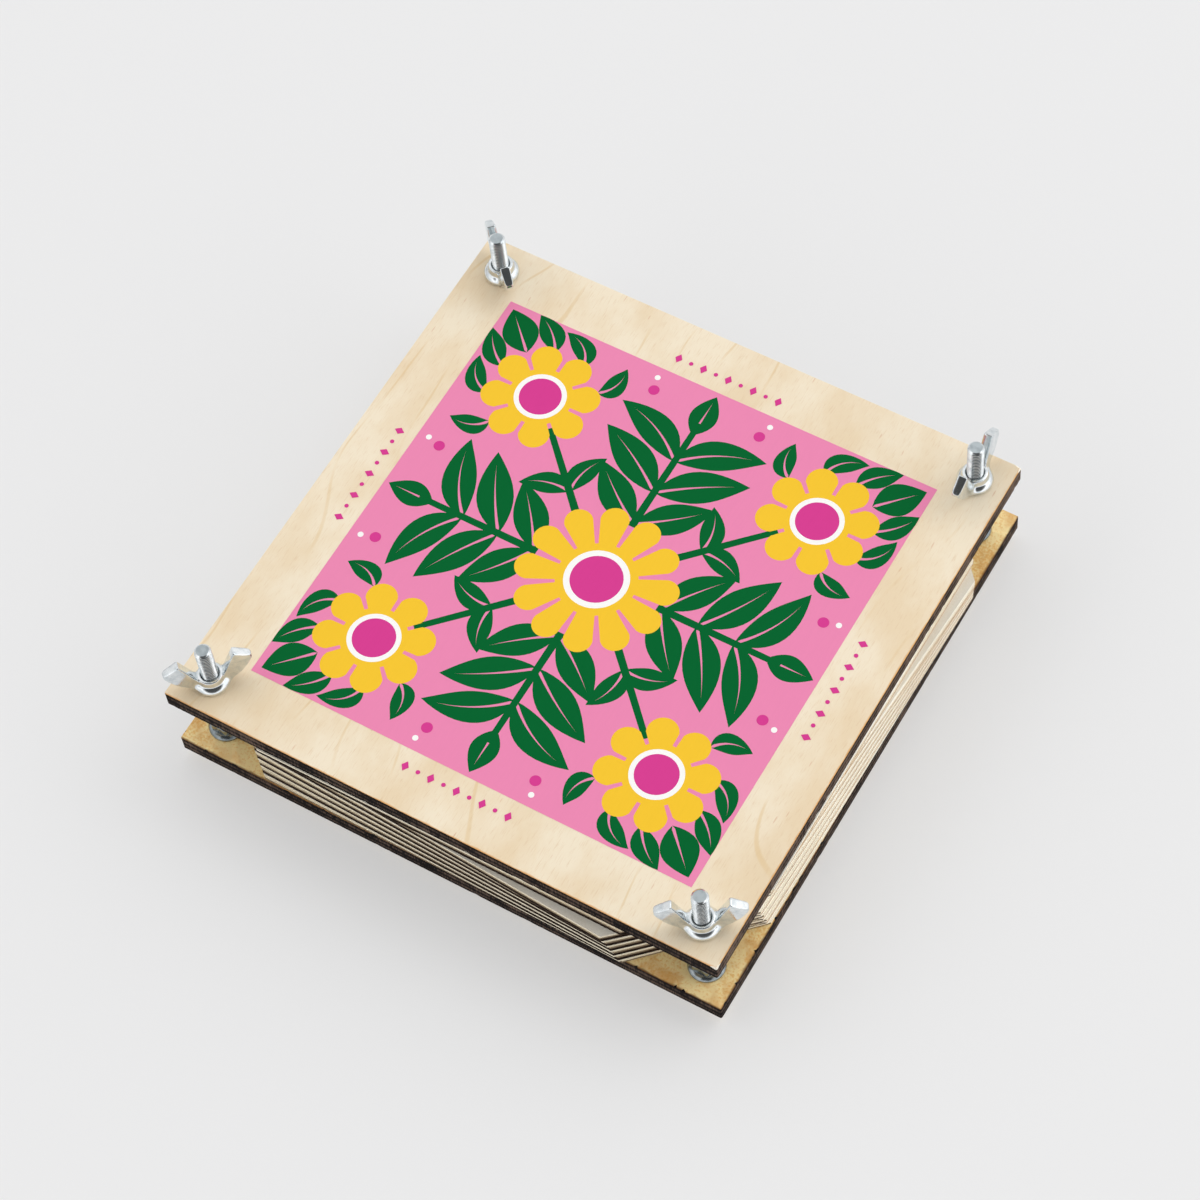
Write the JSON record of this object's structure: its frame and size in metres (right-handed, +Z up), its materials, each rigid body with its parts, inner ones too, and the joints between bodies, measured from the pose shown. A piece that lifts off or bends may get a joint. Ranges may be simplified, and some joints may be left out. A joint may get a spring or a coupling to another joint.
{
  "type": "flower press",
  "caption": "Square two-board flower press: plywood boards on corner bolts with wing nuts squeeze a stack of corrugated cards and blotting sheets.",
  "frame": {"origin": "centre of the plan at the level that the bolt heads stand on", "axes": "+X right along the front edge, +Y towards the back edge, +Z up along the bolts"},
  "size_m": [0.1866, 0.1866, 0.0533],
  "materials": {
    "top_plywood": "birch plywood, laser cut, fine sanded, screen print on the top face",
    "bottom_plywood": "birch plywood, laser cut, smoke stained inner face",
    "zinc_bolt": "bright zinc plate on rolled and forged steel",
    "zinc_wing_nut": "bright zinc plate on cast and tumbled steel",
    "corrugated_card": "uncoated kraft corrugated card, 3.4 mm flutes",
    "blotting_paper": "matt off-white blotting paper"
  },
  "bodies": {
    "base": {"bottom_board": "bottom_plywood", "coach_bolt_front_left": "zinc_bolt", "coach_bolt_front_right": "zinc_bolt", "coach_bolt_back_right": "zinc_bolt", "coach_bolt_back_left": "zinc_bolt", "lock_nut_front_left": "zinc_bolt", "lock_nut_front_right": "zinc_bolt", "lock_nut_back_right": "zinc_bolt", "lock_nut_back_left": "zinc_bolt"},
    "blotter_1": {"blotter_1": "blotting_paper"},
    "blotter_2": {"blotter_2": "blotting_paper"},
    "card_1": {"card_1": "corrugated_card"},
    "blotter_3": {"blotter_3": "blotting_paper"},
    "blotter_4": {"blotter_4": "blotting_paper"},
    "card_2": {"card_2": "corrugated_card"},
    "blotter_5": {"blotter_5": "blotting_paper"},
    "blotter_6": {"blotter_6": "blotting_paper"},
    "card_3": {"card_3": "corrugated_card"},
    "blotter_7": {"blotter_7": "blotting_paper"},
    "blotter_8": {"blotter_8": "blotting_paper"},
    "card_4": {"card_4": "corrugated_card"},
    "blotter_9": {"blotter_9": "blotting_paper"},
    "blotter_10": {"blotter_10": "blotting_paper"},
    "card_5": {"card_5": "corrugated_card"},
    "blotter_11": {"blotter_11": "blotting_paper"},
    "blotter_12": {"blotter_12": "blotting_paper"},
    "card_6": {"card_6": "corrugated_card"},
    "blotter_13": {"blotter_13": "blotting_paper"},
    "blotter_14": {"blotter_14": "blotting_paper"},
    "top_board": {"top_board": "top_plywood"},
    "wing_nut_front_left": {"wing_nut_front_left": "zinc_wing_nut"},
    "wing_nut_front_right": {"wing_nut_front_right": "zinc_wing_nut"},
    "wing_nut_back_right": {"wing_nut_back_right": "zinc_wing_nut"},
    "wing_nut_back_left": {"wing_nut_back_left": "zinc_wing_nut"}
  },
  "joints": [
    {"name": "blotter_1_lift", "type": "slide", "parent": "base", "child": "blotter_1", "axis": [0, 0, 1], "range_m": [0, 0.01]},
    {"name": "blotter_2_lift", "type": "slide", "parent": "blotter_1", "child": "blotter_2", "axis": [0, 0, 1], "range_m": [0, 0.01]},
    {"name": "card_1_lift", "type": "slide", "parent": "blotter_2", "child": "card_1", "axis": [0, 0, 1], "range_m": [0, 0.01]},
    {"name": "blotter_3_lift", "type": "slide", "parent": "card_1", "child": "blotter_3", "axis": [0, 0, 1], "range_m": [0, 0.01]},
    {"name": "blotter_4_lift", "type": "slide", "parent": "blotter_3", "child": "blotter_4", "axis": [0, 0, 1], "range_m": [0, 0.01]},
    {"name": "card_2_lift", "type": "slide", "parent": "blotter_4", "child": "card_2", "axis": [0, 0, 1], "range_m": [0, 0.01]},
    {"name": "blotter_5_lift", "type": "slide", "parent": "card_2", "child": "blotter_5", "axis": [0, 0, 1], "range_m": [0, 0.01]},
    {"name": "blotter_6_lift", "type": "slide", "parent": "blotter_5", "child": "blotter_6", "axis": [0, 0, 1], "range_m": [0, 0.01]},
    {"name": "card_3_lift", "type": "slide", "parent": "blotter_6", "child": "card_3", "axis": [0, 0, 1], "range_m": [0, 0.01]},
    {"name": "blotter_7_lift", "type": "slide", "parent": "card_3", "child": "blotter_7", "axis": [0, 0, 1], "range_m": [0, 0.01]},
    {"name": "blotter_8_lift", "type": "slide", "parent": "blotter_7", "child": "blotter_8", "axis": [0, 0, 1], "range_m": [0, 0.01]},
    {"name": "card_4_lift", "type": "slide", "parent": "blotter_8", "child": "card_4", "axis": [0, 0, 1], "range_m": [0, 0.01]},
    {"name": "blotter_9_lift", "type": "slide", "parent": "card_4", "child": "blotter_9", "axis": [0, 0, 1], "range_m": [0, 0.01]},
    {"name": "blotter_10_lift", "type": "slide", "parent": "blotter_9", "child": "blotter_10", "axis": [0, 0, 1], "range_m": [0, 0.01]},
    {"name": "card_5_lift", "type": "slide", "parent": "blotter_10", "child": "card_5", "axis": [0, 0, 1], "range_m": [0, 0.01]},
    {"name": "blotter_11_lift", "type": "slide", "parent": "card_5", "child": "blotter_11", "axis": [0, 0, 1], "range_m": [0, 0.01]},
    {"name": "blotter_12_lift", "type": "slide", "parent": "blotter_11", "child": "blotter_12", "axis": [0, 0, 1], "range_m": [0, 0.01]},
    {"name": "card_6_lift", "type": "slide", "parent": "blotter_12", "child": "card_6", "axis": [0, 0, 1], "range_m": [0, 0.01]},
    {"name": "blotter_13_lift", "type": "slide", "parent": "card_6", "child": "blotter_13", "axis": [0, 0, 1], "range_m": [0, 0.01]},
    {"name": "blotter_14_lift", "type": "slide", "parent": "blotter_13", "child": "blotter_14", "axis": [0, 0, 1], "range_m": [0, 0.01]},
    {"name": "top_board_lift", "type": "slide", "parent": "blotter_14", "child": "top_board", "axis": [0, 0, 1], "range_m": [0, 0.0126]},
    {"name": "wing_nut_front_left_turn", "type": "hinge", "parent": "top_board", "child": "wing_nut_front_left", "pos_m": [-0.08, -0.08, 0.0361], "axis": [0, 0, 1], "range_deg": [0, 5670]},
    {"name": "wing_nut_front_right_turn", "type": "hinge", "parent": "top_board", "child": "wing_nut_front_right", "pos_m": [0.08, -0.08, 0.0361], "axis": [0, 0, 1], "range_deg": [0, 5670]},
    {"name": "wing_nut_back_right_turn", "type": "hinge", "parent": "top_board", "child": "wing_nut_back_right", "pos_m": [0.08, 0.08, 0.0361], "axis": [0, 0, 1], "range_deg": [0, 5670]},
    {"name": "wing_nut_back_left_turn", "type": "hinge", "parent": "top_board", "child": "wing_nut_back_left", "pos_m": [-0.08, 0.08, 0.0361], "axis": [0, 0, 1], "range_deg": [0, 5670]}
  ],
  "couplings": [
    {"joint": "wing_nut_front_left_turn", "follows": "top_board_lift", "rad_per_m": 7854},
    {"joint": "wing_nut_front_right_turn", "follows": "top_board_lift", "rad_per_m": 7854},
    {"joint": "wing_nut_back_right_turn", "follows": "top_board_lift", "rad_per_m": 7854},
    {"joint": "wing_nut_back_left_turn", "follows": "top_board_lift", "rad_per_m": 7854}
  ]
}
